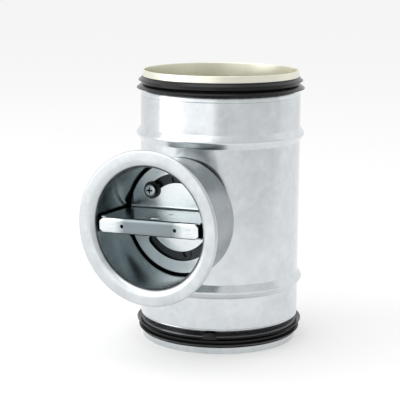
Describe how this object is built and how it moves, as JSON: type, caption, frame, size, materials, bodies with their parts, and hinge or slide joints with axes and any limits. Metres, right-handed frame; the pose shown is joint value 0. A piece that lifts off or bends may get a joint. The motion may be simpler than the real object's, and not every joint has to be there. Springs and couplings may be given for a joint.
{
  "type": "volume control damper",
  "caption": "Round duct volume damper: beaded galvanised body with double-lip gaskets, turning blade, and a slotted locking handle in a flared insulation collar.",
  "frame": {"origin": "centre of the lower duct opening, on the duct axis", "axes": "+Z along the duct axis to the upper end, -Y out of the insulation collar along the shaft"},
  "size_m": [0.1312, 0.1847, 0.212],
  "materials": {
    "galvanised": "satin",
    "zinc_steel": "satin",
    "black_rubber": "matte",
    "pad_rubber": "matte",
    "nylon": "matte",
    "dark_washer": "satin"
  },
  "bodies": {
    "casing": {"duct_body": "galvanised", "lower_lip_gasket": "black_rubber", "upper_lip_gasket": "black_rubber", "insulation_collar": "galvanised", "collar_seal_pad": "pad_rubber", "collar_rivets": "zinc_steel", "front_bush": "nylon", "rear_bush": "nylon", "lock_nut": "zinc_steel", "lock_spacer": "zinc_steel"},
    "rotor": {"handle": "galvanised", "drive_plate": "galvanised", "shaft": "zinc_steel", "shaft_washer": "zinc_steel", "shaft_nut": "zinc_steel", "blade_plate": "galvanised", "front_blade_clamp": "galvanised", "rear_blade_clamp": "galvanised", "blade_screws": "zinc_steel", "blade_nuts": "zinc_steel", "rear_washer": "zinc_steel", "retaining_clip": "zinc_steel"},
    "lock_slider": {"lock_washer": "dark_washer"},
    "lock_turner": {"lock_screw": "zinc_steel"}
  },
  "joints": [
    {"name": "blade_turn", "type": "hinge", "parent": "casing", "child": "rotor", "pos_m": [0, 0, 0.106], "axis": [0, -1, 0], "range_deg": [-2, 88]},
    {"name": "lock_slide", "type": "slide", "parent": "casing", "child": "lock_slider", "axis": [0, -1, 0], "range_m": [0, 0.0016]},
    {"name": "lock_screw_turn", "type": "hinge", "parent": "lock_slider", "child": "lock_turner", "pos_m": [-0.02275, 0, 0.12509], "axis": [0, -1, 0], "range_deg": [0, 720]}
  ],
  "couplings": [
    {"joint": "lock_screw_turn", "follows": "lock_slide", "rad_per_m": 7853.9}
  ]
}
